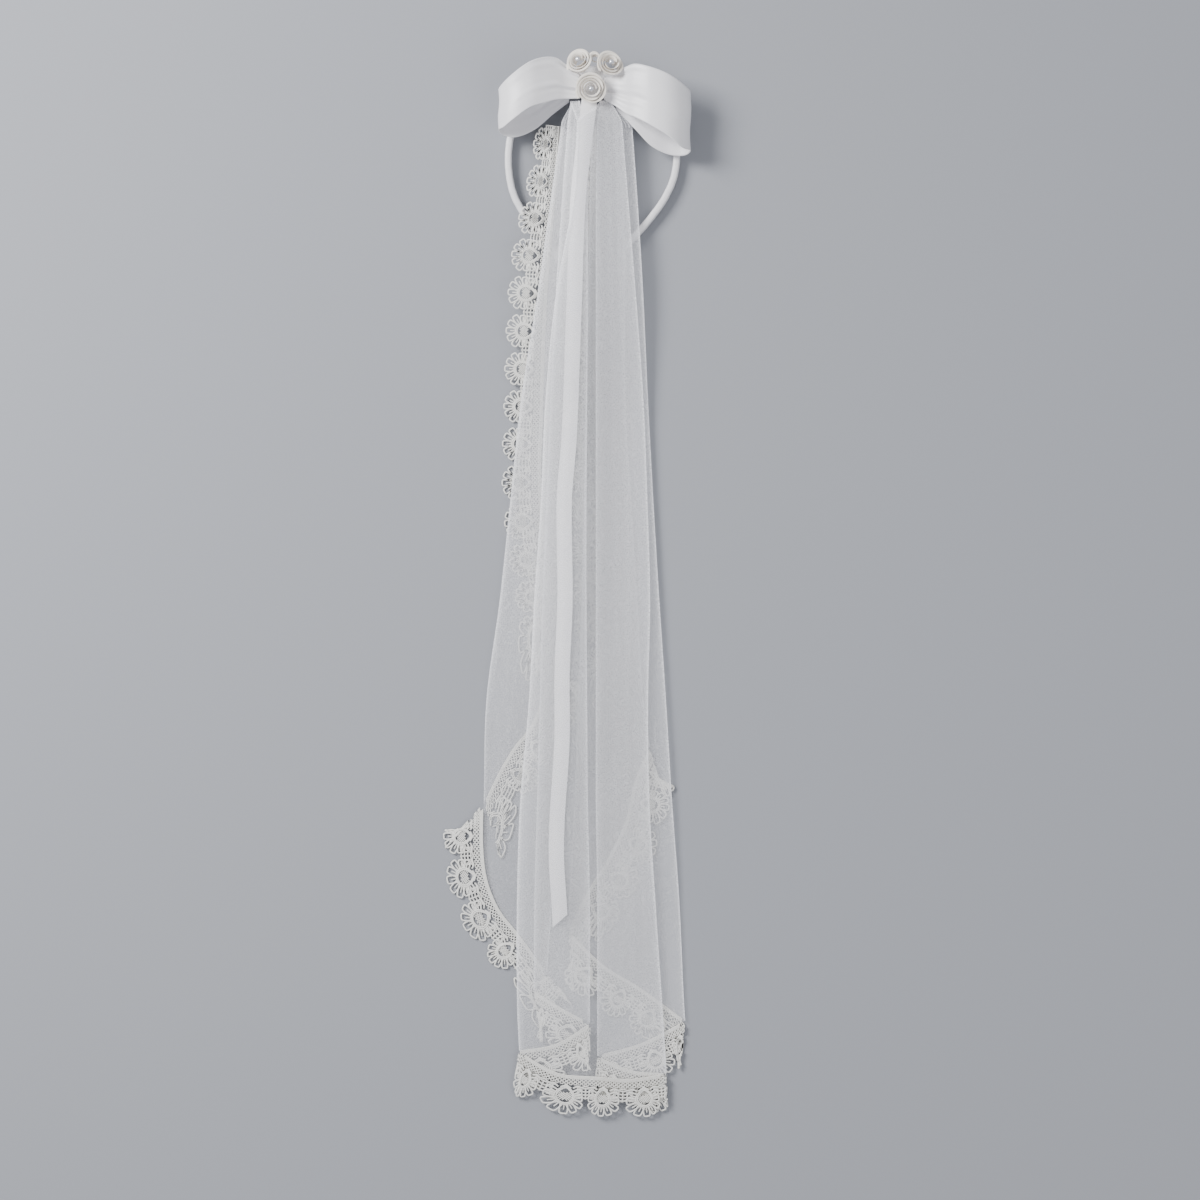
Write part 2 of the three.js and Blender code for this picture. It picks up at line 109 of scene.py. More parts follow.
def smooth_line(points, count):
    """Even points along a centripetal curve through the given ones."""
    p = np.asarray(points, dtype=float)
    p = np.vstack([2 * p[0] - p[1], p, 2 * p[-1] - p[-2]])
    knots = np.concatenate([[0], np.cumsum(np.sqrt(np.linalg.norm(np.diff(p, axis=0), axis=1)))])
    fine = []
    for k in range(1, len(p) - 2):
        t0, t1, t2, t3 = knots[k - 1:k + 3]
        t = np.linspace(t1, t2, FINE_STEPS, endpoint=k == len(p) - 3)[:, None]
        a1 = (t1 - t) / (t1 - t0) * p[k - 1] + (t - t0) / (t1 - t0) * p[k]
        a2 = (t2 - t) / (t2 - t1) * p[k] + (t - t1) / (t2 - t1) * p[k + 1]
        a3 = (t3 - t) / (t3 - t2) * p[k + 1] + (t - t2) / (t3 - t2) * p[k + 2]
        b1 = (t2 - t) / (t2 - t0) * a1 + (t - t0) / (t2 - t0) * a2
        b2 = (t3 - t) / (t3 - t1) * a2 + (t - t1) / (t3 - t1) * a3
        fine.append((t2 - t) / (t2 - t1) * b1 + (t - t1) / (t2 - t1) * b2)
    fine = np.vstack(fine)
    run = np.concatenate([[0], np.cumsum(np.linalg.norm(np.diff(fine, axis=0), axis=1))])
    even = np.linspace(0, run[-1], count)
    return np.stack([np.interp(even, run, fine[:, k]) for k in range(fine.shape[1])], axis=1)

# %% [markdown]
# ## The finishes
# Four cloths share one woven finish, and the net and the stones have their own.  The
# colours are all near white, so what tells the cloths apart is how they shine.

# %% Node helpers
def new_material(name):
    material = bpy.data.materials.new(name)
    material.use_nodes = True
    return material, material.node_tree, material.node_tree.nodes["Principled BSDF"]


def math_node(tree, operation, a, b):
    node = tree.nodes.new("ShaderNodeMath")
    node.operation = operation
    for socket, value in zip(node.inputs, (a, b)):
        if isinstance(value, (int, float)):
            socket.default_value = value
        else:
            tree.links.new(value, socket)
    return node.outputs[0]

# %% [markdown]
# ## Woven thread
# Satin is a dense weave with long floats: it shines, with faint threads and slow
# changes of shade.  A drawn thread pattern would need each piece laid out flat, so
# fine noise stands for the threads and a slow one for the shade.  Both are in one
# group, which the lace cord uses too, rougher and duller.

# %% A group for woven thread
PATCHES_PER_METRE = 60
weave = bpy.data.node_groups.new("fine threads", "ShaderNodeTree")
weave.interface.new_socket("Threads per metre", in_out="INPUT", socket_type="NodeSocketFloat")
weave.interface.new_socket("Patchiness", in_out="INPUT", socket_type="NodeSocketFloat")
weave.interface.new_socket("Height", in_out="OUTPUT", socket_type="NodeSocketFloat")
weave.interface.new_socket("Shade", in_out="OUTPUT", socket_type="NodeSocketFloat")
group_in = weave.nodes.new("NodeGroupInput")
group_out = weave.nodes.new("NodeGroupOutput")
place = weave.nodes.new("ShaderNodeTexCoord")
thread = weave.nodes.new("ShaderNodeTexNoise")
thread.inputs["Detail"].default_value = 2
weave.links.new(place.outputs["Object"], thread.inputs["Vector"])
weave.links.new(group_in.outputs["Threads per metre"], thread.inputs["Scale"])
cloud = weave.nodes.new("ShaderNodeTexNoise")
cloud.inputs["Scale"].default_value = PATCHES_PER_METRE
weave.links.new(place.outputs["Object"], cloud.inputs["Vector"])
weave.links.new(thread.outputs[0], group_out.inputs["Height"])
shade = math_node(weave, "MULTIPLY", cloud.outputs[0], group_in.outputs["Patchiness"])
weave.links.new(shade, group_out.inputs["Shade"])

# %% A cloth finish
PATCHINESS, THREAD_HEIGHT, SHEEN_ROUGHNESS = 0.8, 0.0004, 0.35


def cloth_material(name, light, dark, roughness, threads, sheen, bump):
    material, tree, shader = new_material(name)
    group = tree.nodes.new("ShaderNodeGroup")
    group.node_tree = weave
    group.inputs["Threads per metre"].default_value = threads
    group.inputs["Patchiness"].default_value = PATCHINESS
    mix = tree.nodes.new("ShaderNodeMix")
    mix.data_type = "RGBA"
    mix.inputs["A"].default_value = (*light, 1)
    mix.inputs["B"].default_value = (*dark, 1)
    tree.links.new(group.outputs["Shade"], mix.inputs["Factor"])
    tree.links.new(mix.outputs["Result"], shader.inputs["Base Color"])
    height = tree.nodes.new("ShaderNodeBump")
    height.inputs["Strength"].default_value = bump
    height.inputs["Distance"].default_value = THREAD_HEIGHT
    tree.links.new(group.outputs["Height"], height.inputs["Height"])
    tree.links.new(height.outputs["Normal"], shader.inputs["Normal"])
    shader.inputs["Roughness"].default_value = roughness
    shader.inputs["Sheen Weight"].default_value = sheen
    shader.inputs["Sheen Roughness"].default_value = SHEEN_ROUGHNESS
    return material

# %% Four cloths
satin = cloth_material(
    "white satin", light=(0.93, 0.92, 0.93), dark=(0.80, 0.79, 0.83),
    roughness=0.30, threads=2600, sheen=0.35, bump=0.25,
)
band_satin = cloth_material(
    "band satin", light=(0.92, 0.91, 0.92), dark=(0.80, 0.79, 0.82),
    roughness=0.36, threads=2200, sheen=0.3, bump=0.3,
)
rose_satin = cloth_material(
    "ivory rose satin", light=(0.94, 0.90, 0.83), dark=(0.84, 0.77, 0.69),
    roughness=0.40, threads=2400, sheen=0.35, bump=0.3,
)
lace_cord = cloth_material(
    "guipure cord", light=(0.94, 0.93, 0.89), dark=(0.82, 0.80, 0.74),
    roughness=0.78, threads=1500, sheen=0.2, bump=0.6,
)

# %% [markdown]
# ## The net
# Tulle is a net of tiny holes: most of it is air.  Each thread could be a curve, but
# there are far too many.  So the finish is a plain fabric whose alpha is the share of
# thread.  That share is stored on the mesh as an attribute, because it is larger
# where the sheet is gathered and along each fold, and a fine cell pattern breaks it up.

# %% Tulle: a net that is mostly air
HOLES_PER_METRE = 700
THREAD_SHARE = 0.09                   # a cell's rim, as a share of the cell
HOLE_COVER, THREAD_GAIN = 0.66, 0.9   # a hole still dims what is under it a little
tulle_net, tree, shader = new_material("tulle net")
cover = tree.nodes.new("ShaderNodeAttribute")
cover.attribute_name = "cover"
place = tree.nodes.new("ShaderNodeTexCoord")
holes = tree.nodes.new("ShaderNodeTexVoronoi")
holes.feature = "DISTANCE_TO_EDGE"
holes.inputs["Scale"].default_value = HOLES_PER_METRE
tree.links.new(place.outputs["Object"], holes.inputs["Vector"])
net_line = math_node(tree, "LESS_THAN", holes.outputs["Distance"], THREAD_SHARE)
net = math_node(tree, "ADD", math_node(tree, "MULTIPLY", net_line, THREAD_GAIN), HOLE_COVER)
tree.links.new(math_node(tree, "MULTIPLY", cover.outputs["Fac"], net), shader.inputs["Alpha"])
tint = tree.nodes.new("ShaderNodeMix")
tint.data_type = "RGBA"
tint.inputs["A"].default_value = (0.93, 0.93, 0.98, 1)
tint.inputs["B"].default_value = (0.97, 0.97, 0.99, 1)
tree.links.new(net_line, tint.inputs["Factor"])
tree.links.new(tint.outputs["Result"], shader.inputs["Base Color"])
shader.inputs["Roughness"].default_value = 0.8
shader.inputs["Sheen Weight"].default_value = 0.3

# %% [markdown]
# ## The stones' finish
# The stones are small faceted crystals.  Clear glass as small as this reads as a dark
# dot, so a bright polished finish with darker cells stands for the facets: the cells
# are painted glints and painted dark reflections.

# %% Clear cut stones
FACETS_PER_METRE = 900
crystal, tree, shader = new_material("cut stone")
facet = tree.nodes.new("ShaderNodeTexVoronoi")
facet.inputs["Scale"].default_value = FACETS_PER_METRE
place = tree.nodes.new("ShaderNodeTexCoord")
tree.links.new(place.outputs["Object"], facet.inputs["Vector"])
# painted glints and painted dark reflections, cell by cell, in the stone's colour
painted_glints = tree.nodes.new("ShaderNodeMix")
painted_glints.data_type = "RGBA"
painted_glints.inputs["A"].default_value = (0.95, 0.96, 1.0, 1)
painted_glints.inputs["B"].default_value = (0.25, 0.27, 0.33, 1)
tree.links.new(facet.outputs["Distance"], painted_glints.inputs["Factor"])
tree.links.new(painted_glints.outputs["Result"], shader.inputs["Base Color"])
shader.inputs["Roughness"].default_value = 0.06
shader.inputs["Metallic"].default_value = 0.35
print("finishes:", [m.name for m in bpy.data.materials])

# %% [markdown]
# ## The fold table
# Each row is one edge or fold between two passes, with its X at a set of heights and
# the point where it meets the hem seam.  A pass is the cloth between two rows.  The
# solids of the imported model lie on the same folds, so the cloth lies where they are.

# %% Folds
TOP, SPLIT = 349, -5
FOLD_Y = [350, 295, 220, 145, 70, -5, -80, -155, -230, -305]
FOLDS = [
    {"x": [-10, -14, -20, -23, -24, -14], "end": (-13, -14)},
    {"x": [0, -2, -5, -7, -9, -11], "end": (-12, -42)},
    {"x": [-9.5, -17.5, -28, -40, -48, -56, -66, -68], "end": (-68, -157)},
    {"x": [5.5, 4, 1, -2, -5, -8, -11, -14, -17], "end": (-20.5, -284)},
    {"x": [-5, -9, -14, -18, -21, -24, -26, -28, -30], "end": (-30.5, -297)},
    {"x": [10, 10, 10, 9.5, 9, 9, 9.5, 10, 11.5, 11.5], "end": (11.5, -321)},
    {"x": [2, -1, -14, -21.5, -25, -30, -34, -40.5, -43, -43], "end": (-41.5, -342)},
    {"x": [35.5, 40, 46, 51.5, 54.5, 56.5, 55, 56, 60.5, 65.5], "end": (69, -359)},
    {"x": [17, 16, 16, 16, 16, 16, 16, 16, 17, 17], "end": (17, -346)},
    {"x": [43, 47, 51.5, 55, 59, 63.5, 68.5, 73, 78.5, 82], "end": (83, -320)},
    {"x": [13, 11.5, 10, 8.5, 7, 5.5, 2.5, 0, -4], "end": (-5, -252)},
    {"x": [36.5, 37, 38, 38, 42.5, 47, 51.5], "end": (56.5, -114)},
    {"x": [17.5, 17, 17, 17.5, 23.5, 29, 43], "end": (49, -99)},
]

# %% Hems, order of the layers, and the tail
HEMS = [
    [],
    [(-33, -99), (-45, -114), (-56, -132)],
    [(-68, -192), (-65, -215), (-56, -237), (-41, -256)],
    [],
    [(-11, -309)],
    [(-14.5, -337)],
    [(-26, -352), (-11, -359), (15, -361), (42, -363)],
    [(43, -357)],
    [(49, -337)],
    [(49, -295), (23, -279)],
    [(12, -219), (24, -200), (38, -170), (45, -140)],
    [],
]
# the layers from the lowest up
STACK = [0, 11, 1, 10, 2, 9, 3, 8, 4, 7, 5, "tail", 6]
TAIL = [
    (10.2, 358), (7, 332), (3, 295), (-0.5, 205), (-4, 115), (-7.5, 70), (-7, -5),
    (-9.2, -60), (-9.3, -110), (-13, -170), (-13.4, -200), (-11.5, -230), (-11, -240),
]
TAIL_WIDTH, TAIL_POINT = 11.4, 9

# %% Where a fold lies at a height
def fold_x(fold, y):
    """X of a fold at height y, on a smooth curve through its row of the table."""
    ys = FOLD_Y[:len(fold["x"])] + [fold["end"][1]]
    xs = list(fold["x"]) + [fold["end"][0]]
    n = next((i for i, value in enumerate(ys) if value <= y), len(ys) - 1)
    n = min(max(n, 1), len(ys) - 1)

    def slope(i):
        a, b = max(i - 1, 0), min(i + 1, len(ys) - 1)
        return (xs[b] - xs[a]) / (ys[b] - ys[a])

    span = ys[n] - ys[n - 1]
    t = min(max((y - ys[n - 1]) / span, 0), 1)
    cubic = t * t * (3 - 2 * t)
    return (xs[n - 1] * (1 - cubic) + xs[n] * cubic
            + t * (1 - t) * span * ((1 - t) * slope(n - 1) - t * slope(n)))

# %% Lay out one pass
UPPER_ROWS, LOWER_ROWS = 56, 52
HEM_POINTS = 200
HEM_FADE = 3          # the higher, the later a pass's rows bend to its hem


def pass_grid(k, shares, upper=UPPER_ROWS, lower=LOWER_ROWS):
    a, b = FOLDS[k], FOLDS[k + 1]

    def down(fold):
        ys = np.concatenate([
            np.linspace(TOP, SPLIT, upper), np.linspace(SPLIT, fold["end"][1], lower + 1)[1:],
        ])
        return np.array([(fold_x(fold, y), y) for y in ys])

    left, right = down(a), down(b)
    line = smooth_line([a["end"], *HEMS[k], b["end"]], HEM_POINTS)
    even = np.linspace(0, 1, HEM_POINTS)
    hem = np.stack([np.interp(shares, even, line[:, c]) for c in (0, 1)], axis=1)
    s = np.asarray(shares)[None, :, None]
    flat = left[:, None, :] * (1 - s) + right[:, None, :] * s
    straight = np.array(a["end"])[None, :] * (1 - s[0]) + np.array(b["end"])[None, :] * s[0]
    fade = (np.linspace(0, 1, len(left)) ** HEM_FADE)[:, None, None]
    return flat + fade * (hem - straight)[None]

# %% [markdown]
# ## The seam line and the direction of the lace
# The lace runs down one side, along the hem of every pass and up the other side.  The
# sheet is turned over at each fold, so the lace points to the other side of its own
# travel on every second pass.  Near a fold it leans so that both passes meet.

# %% Sizes of the lace
LACE_DEPTH, LACE_DEPTH_TOP = 30, 19      # the lace is narrower where it is drawn in
LACE_FULL_BELOW = 235                    # below this height it has its whole depth
SCALLOP = 28                             # length of one repeat
LEAN_OVER = 22                           # near a fold the lace leans, over this length
MOST_LEAN = 0.85                         # by no more than this angle, in radians
SHORT_STRETCH = 60                       # and by less on a stretch shorter than this
ROUGH_POINTS, STATION_STEP, FEWEST_STATIONS = 400, 1.5, 12

# %% Seams
def seam_line(k):
    rows = [TOP] + [y for y in FOLD_Y if 0 < y < TOP] + [SPLIT]
    ends = [FOLDS[k]["end"], *HEMS[k], FOLDS[k + 1]["end"]]
    if k == 0:
        return [(fold_x(FOLDS[0], y), y) for y in rows] + ends
    if k == len(FOLDS) - 2:
        return ends + [(fold_x(FOLDS[-1], y), y) for y in reversed(rows)]
    return ends


seams = []
for k in range(len(HEMS)):
    rough = smooth_line(seam_line(k), ROUGH_POINTS)
    length = np.linalg.norm(np.diff(rough, axis=0), axis=1).sum()
    points = smooth_line(seam_line(k), max(FEWEST_STATIONS, round(length / STATION_STEP)))
    travel = np.gradient(points, axis=0)
    travel /= np.linalg.norm(travel, axis=1)[:, None]
    side = 1 if k % 2 else -1
    across = np.stack([-travel[:, 1] * side, travel[:, 0] * side], axis=1)
    seams.append({"points": points, "across": across, "length": length})

# %% Lean at the folds
def lean(mine, other, length):
    """Turns one direction half of the way to the other, and keeps the depth of the lace."""
    half = math.atan2(mine[0] * other[1] - mine[1] * other[0], mine @ other) / 2
    most = MOST_LEAN * min(1, length / SHORT_STRETCH)
    turn = min(max(half, -most), most)
    c, s = math.cos(turn), math.sin(turn)
    return np.array([c * mine[0] - s * mine[1], s * mine[0] + c * mine[1]]) / c


start = 0.0
for n, seam in enumerate(seams):
    across = seam["across"]
    first, final = across[0], across[-1]
    if n > 0:
        first = lean(first, seams[n - 1]["across"][-1], seam["length"])
    if n < len(seams) - 1:
        final = lean(final, seams[n + 1]["across"][0], seam["length"])
    run = np.linspace(0, seam["length"], len(across))
    reach = min(LEAN_OVER, seam["length"] / 2)
    at_start = (1 - smoothstep(run / reach))[:, None]
    at_end = (1 - smoothstep((seam["length"] - run) / reach))[:, None]
    seam["outward"] = across * (1 - at_start - at_end) + first * at_start + final * at_end
    drawn = smoothstep((seam["points"][:, 1] - LACE_FULL_BELOW) / (TOP - LACE_FULL_BELOW))
    seam["depth"] = LACE_DEPTH + (LACE_DEPTH_TOP - LACE_DEPTH) * drawn
    seam["run"] = run + start
    start += seam["length"]
print("lace needed:", round(start), "mm, scallops:", round(start / SCALLOP))

# %% [markdown]
# ## How high each layer lies
# A layer rests on all the layers under it and still lies a little high just beyond
# their edges.  Near the top the whole veil crosses the arms of the band.

# %% Distance outside a layer
def outline(grid):
    return np.vstack([grid[0], grid[1:-1, -1], grid[-1, ::-1], grid[-2:0:-1, 0]])


def outside(points, shape):
    """How far each point is outside a closed shape, and 0 inside it."""
    a, b = shape, np.roll(shape, -1, axis=0)
    edge = b - a
    best = np.full(len(points), 1e9)
    inside = np.zeros(len(points), bool)
    for p, q, e in zip(a, b, edge):
        t = np.clip(((points - p) @ e) / max(e @ e, 1e-9), 0, 1)
        best = np.minimum(best, np.linalg.norm(points - p - t[:, None] * e, axis=1))
        crosses = (p[1] > points[:, 1]) != (q[1] > points[:, 1])
        if abs(e[1]) > 1e-9:
            inside ^= crosses & (points[:, 0] < p[0] + e[0] * (points[:, 1] - p[1]) / e[1])
    return np.where(inside, 0, best)

# %% What each layer covers
COARSE_ROWS = (14, 12)
TAIL_TOP, TAIL_STATIONS = (11.2, 367), 92


def strip(seam, step=12):
    keep = np.unique(np.append(np.arange(0, len(seam["points"]), step), len(seam["points"]) - 1))
    p, o, d = seam["points"][keep], seam["outward"][keep], seam["depth"][keep][:, None]
    return np.stack([p, p + o * d], axis=1)


tail_line = smooth_line([TAIL_TOP, *TAIL], TAIL_STATIONS)
tail_travel = np.gradient(tail_line, axis=0)
tail_travel /= np.linalg.norm(tail_travel, axis=1)[:, None]
tail_right = np.stack([-tail_travel[:, 1], tail_travel[:, 0]], axis=1)
covers = {
    k: [outline(pass_grid(k, [0, 0.5, 1], *COARSE_ROWS)), outline(strip(seams[k]))]
    for k in range(len(HEMS))
}
tail_half = tail_right * (TAIL_WIDTH / 2)
tail_sides = np.stack([tail_line - tail_half, tail_line + tail_half], axis=1)
covers["tail"] = [outline(tail_sides[::6])]

# %% Heights
PITCH = 1.78                             # height of one layer
SETTLE = 45                              # a layer comes down over this length
BAND_LIFT, LIFT_FROM, LIFT_TO = 8.6, 246, 110


def height(layer, points):
    points = np.asarray(points, dtype=float)
    z = BAND_LIFT * smoothstep((points[:, 1] - LIFT_TO) / (LIFT_FROM - LIFT_TO))
    for other in STACK[:STACK.index(layer)]:
        gap = np.min([outside(points, shape) for shape in covers[other]], axis=0)
        z = z + PITCH * (1 - smoothstep(gap / SETTLE))
    return z

# %% [markdown]
# ## The tulle
# All the passes go into one mesh, because they are one sheet.  Narrow columns follow
# each fold, where two thicknesses lie edge to edge and read as a bright line, and a
# few soft pleats run down each pass from the gathers.

# %% How thick the net looks
BASE_COVER, GATHER_SHARE = 0.19, 0.25        # a plain layer, and how much of it gathers
FOLD_COVER, FOLD_WIDTH = 0.34, 0.9           # the bright line along a fold
GLOW_COVER, GLOW_WIDTH = 0.06, 4             # and the softer band beside it
PLEAT_COVER, PLEAT_WIDTH, PLEAT_FADE, PLEATS = 0.05, 1.6, 0.7, 4
MOST_COVER, MOST_GATHER = 0.9, 2.6
FOOT_SLACK, TOP_SLACK = 20, 12
WIDE_ROW = 50                                # where the two end passes are widest


def net_cover(k, shares, width, down):
    distance = np.minimum(shares, 1 - shares)[None, :] * width[:, None]
    edge = FOLD_COVER * np.exp(-(distance / FOLD_WIDTH) ** 2)
    edge = edge + GLOW_COVER * np.exp(-(distance / GLOW_WIDTH) ** 2)
    foot = width[WIDE_ROW if k in (0, len(HEMS) - 1) else -1]
    gather = np.clip((foot + FOOT_SLACK) / (width + TOP_SLACK), 1, MOST_GATHER)[:, None]
    middles = [rng.random() for _ in range(PLEATS)]
    pleat = sum(
        PLEAT_COVER * np.exp(-((shares[None, :] - at) * width[:, None] / PLEAT_WIDTH) ** 2)
        * (1 - PLEAT_FADE * down)
        for at in middles
    )
    amount = BASE_COVER * (1 - GATHER_SHARE + GATHER_SHARE * gather) + edge + pleat
    return np.clip(amount, 0, MOST_COVER)


# %% A slight ripple
WAVES, WAVE_HEIGHT, WAVE_DRIFT = 4, 0.22, 1.5
LIE_ABOVE, RIPPLE_SHARE = 0.35, 0.25


def ripple(k, shares, down):
    return sum(
        WAVE_HEIGHT * math.sin(1 + 3 * m + k)
        * np.sin((m + 2) * math.pi * shares[None, :] * 2 + m + k + WAVE_DRIFT * down)
        for m in range(WAVES)
    )


# %% Where the two bunches are gathered
HEADINGS = [
    {"top": (-3, 4.2), "foot": (-10, 8), "pleats": 9},
    {"top": (19, 28), "foot": (14, 43), "pleats": 12},
]
HEADING_ROWS, HEADING_Y = 10, 366.5
COLUMNS, EDGE_COLUMNS = 22, [0.006, 0.02, 0.98, 0.994]

# %% Make the passes
points, faces, covers_at = [], [], []
for k in range(len(HEMS)):
    shares = np.unique(np.concatenate([np.linspace(0, 1, COLUMNS), EDGE_COLUMNS]))
    grid = pass_grid(k, shares)
    left, right = HEADINGS[0 if k < len(HEMS) // 2 else 1]["top"]
    gathered = np.stack([left + (right - left) * shares, np.full(len(shares), HEADING_Y)], axis=1)
    if k % 2:
        gathered[:, 0] = gathered[::-1, 0]
    rise = np.linspace(0, 1, HEADING_ROWS, endpoint=False)[:, None, None]
    spread = smoothstep(rise) * np.array([1, 0]) + rise * np.array([0, 1])
    grid = np.vstack([gathered[None] * (1 - spread) + grid[0][None] * spread, grid])
    rows, columns = grid.shape[:2]
    width = np.linalg.norm(grid[:, -1] - grid[:, 0], axis=1)
    down = np.linspace(0, 1, rows)[:, None]
    z = height(k, grid.reshape(-1, 2)).reshape(rows, columns)
    z = z + LIE_ABOVE + RIPPLE_SHARE * ripple(k, shares, down)
    first = len(points)
    points.extend(np.dstack([grid, z]).reshape(-1, 3))
    faces.extend(grid_faces(rows, columns, first))
    covers_at.extend(net_cover(k, shares, width, down).ravel())

# %% [markdown]
# ## The gathers
# Just under the bow the net is drawn up on a thread into small even pleats.  They
# could be sewn in a simulation, but they are so small and regular that a wave on a
# fan-shaped grid, deeper towards its foot, gives the same look.

# %% Gather the heading
FAN_ROWS, COLUMNS_A_PLEAT = 12, 6
FAN_TOP, FAN_DROP, FAN_SAG, SAG_TURNS = 366.8, 18, 2.5, 9
FAN_Z, FAN_RISE, FAN_DEPTH, TOP_DEPTH = 13.5, 1.5, 3.2, 0.4
FAN_COVER, RIDGE_COVER = 0.34, 0.2
for heading in HEADINGS:
    columns = heading["pleats"] * COLUMNS_A_PLEAT + 1
    t = np.linspace(0, 1, FAN_ROWS)[:, None]
    s = np.linspace(0, 1, columns)[None, :]
    spread = smoothstep(t)
    left = heading["top"][0] + (heading["foot"][0] - heading["top"][0]) * spread
    right = heading["top"][1] + (heading["foot"][1] - heading["top"][1]) * spread
    x = left + (right - left) * s
    y = FAN_TOP - FAN_DROP * t - FAN_SAG * np.sin(s * SAG_TURNS) * t
    wave = np.sin(s * heading["pleats"] * 2 * math.pi)
    z = FAN_Z + FAN_DEPTH * wave * (TOP_DEPTH + (1 - TOP_DEPTH) * t) + FAN_RISE * t
    first = len(points)
    points.extend(np.dstack([x, y, z]).reshape(-1, 3))
    faces.extend(grid_faces(FAN_ROWS, columns, first))
    covers_at.extend(np.broadcast_to(FAN_COVER + RIDGE_COVER * np.abs(wave), x.shape).ravel())

# %% Join the tulle
tulle = piece("tulle_veil", points, faces, tulle_net)
attribute = tulle.data.attributes.new("cover", "FLOAT", "POINT")
attribute.data.foreach_set("value", np.array(covers_at, dtype=np.float32))
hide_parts(*[f"tulle_pass_{k}" for k in range(len(HEMS))], "heading_left", "heading_right")

# %% [markdown]
# ## The daisy lace
# Guipure is thick cord with no ground net.  One repeat is a fan of petals round a
# pointed medallion filled with lattice, with ladder bars beside it and two rows of
# eyelets under a plain tape.  The repeat is drawn once in the lace's own strip
# (along, out), then carried onto every stretch of the seam as round cord.

# %% Sizes of one repeat
CORD, FINE = 0.62, 0.36                       # radius of the thick and of the fine cord
MIDDLE_OUT = 16.5                             # middle of the medallion, out from the seam
PETALS, FIRST_PETAL, PETAL_STEP = 9, -112, 28           # the fan, in degrees
PETAL_ROOT, PETAL_WIDE, PETAL_REACH, LOW_REACH = 6.0, 2.25, 13.2, 11.6
VEIN = (5.6, 10.2)
RINGS = [(5.9, 6.2), (4.9, 5.2)]              # the medallion: half width and half height
POINT_DROP, POINT_WIDE, RING_POINTS = 1.6, 2.4, 20
LATTICE, LATTICE_RADIUS, LATTICE_SLOPE = (-3.2, -1.6, 0, 1.6, 3.2), 4.7, 0.7
RUNG, RUNGS_OUT = [(6.4, -0.6), (10.2, 0), (14, 0.4)], (9.6, 12.0, 14.4, 16.8)
UPRIGHTS, UPRIGHT_OUT = (8.0, 11.2, 13.9), (9.0, 18.0)
SHOULDER = [(4.8, 10.0), (7.6, 8.2), (11, 9.2), (14, 8.0)]
KEYSTONE = [(-3.4, 10.0), (0, 7.8), (3.4, 10.0)]
EYELET_ROWS, EYELETS, FIRST_EYELET, EYELET_STEP = (3.7, 6.3), 9, -12.5, 3.11
EYELET_WIDE, EYELET_TALL, EYELET_POINTS = 1.25, 1.15, 6
TAPE_OUT, TAPE_ALONG = (0.7, 1.5, 2.3), (-14, -7, 0, 7, 14)

# %% Shapes of cord
PETAL_BLUNT, PETAL_SWELL, PETAL_TURN, PETAL_FULL = 2.6, 0.6, 0.62, 0.95


def loop(along, out, wide, tall, turn, count):
    a = np.linspace(0, 2 * math.pi, count + 1)
    x, y = wide * np.cos(a), tall * np.sin(a)
    c, s = math.cos(turn), math.sin(turn)
    return np.stack([along + c * x - s * y, out + s * x + c * y], axis=1)


def petal(angle, root, reach, wide):
    """A long loop out from the medallion, its open end at the root."""
    t = np.linspace(-1, 1, 13)
    out = root + (reach - root) * (1 - np.abs(t) ** PETAL_BLUNT)
    swell = np.sin(np.minimum(np.abs(t) ** PETAL_SWELL, 1) * math.pi * PETAL_TURN)
    sideways = wide * np.sign(t) * swell * PETAL_FULL
    c, s = math.cos(angle), math.sin(angle)
    return np.stack([s * out + c * sideways, c * out - s * sideways], axis=1)


def line_at(line, side=1, out=0):
    return np.array([(side * along, out + rise) for along, rise in line])


# %% The medallion and its petals
motif = []
for n in range(PETALS):
    angle = math.radians(FIRST_PETAL + PETAL_STEP * n)
    reach = PETAL_REACH if 2 <= n <= PETALS - 3 else LOW_REACH
    shape = petal(angle, PETAL_ROOT, reach, PETAL_WIDE) + np.array([0, MIDDLE_OUT])
    motif.append((shape, CORD))
    vein = [(math.sin(angle) * r, MIDDLE_OUT + math.cos(angle) * r) for r in VEIN]
    motif.append((np.array(vein), FINE * 1.3))
for wide, tall in RINGS:
    ring = loop(0, MIDDLE_OUT, wide, tall, 0, RING_POINTS)
    pointed = np.exp(-(ring[:, 0] / POINT_WIDE) ** 2) * (ring[:, 1] < MIDDLE_OUT)
    ring[:, 1] -= POINT_DROP * pointed
    motif.append((ring, CORD))
for offset in LATTICE:
    half = math.sqrt(LATTICE_RADIUS ** 2 - offset ** 2) * LATTICE_SLOPE
    for rise in (half, -half):
        bar = [(offset - half, MIDDLE_OUT - rise), (offset + half, MIDDLE_OUT + rise)]
        motif.append((np.array(bar), FINE))

# %% The ladders, eyelets and tape
for side in (-1, 1):
    for out in RUNGS_OUT:
        motif.append((line_at(RUNG, side, out), CORD * 0.85))
    for along in UPRIGHTS:
        motif.append((line_at([(along, out) for out in UPRIGHT_OUT], side), CORD * 0.8))
    motif.append((line_at(SHOULDER, side), CORD))
motif.append((line_at(KEYSTONE), CORD))
for row in EYELET_ROWS:
    for n in range(EYELETS):
        middle = FIRST_EYELET + EYELET_STEP * n
        eyelet = loop(middle, row, EYELET_WIDE, EYELET_TALL, 0, EYELET_POINTS)
        motif.append((eyelet, CORD * 0.75))
for out in TAPE_OUT:
    motif.append((line_at([(along, out) for along in TAPE_ALONG]), CORD * 0.8))
print("cords in one repeat:", len(motif))

# %% [markdown]
# ## Sewing the lace on
# The real strip is stitched on flat, and bends with the edge.  A curve modifier could
# bend one long strip, but it can't change sides at each fold.  So every cord is drawn
# as a thin tube through its own points, placed along and out from the seam.

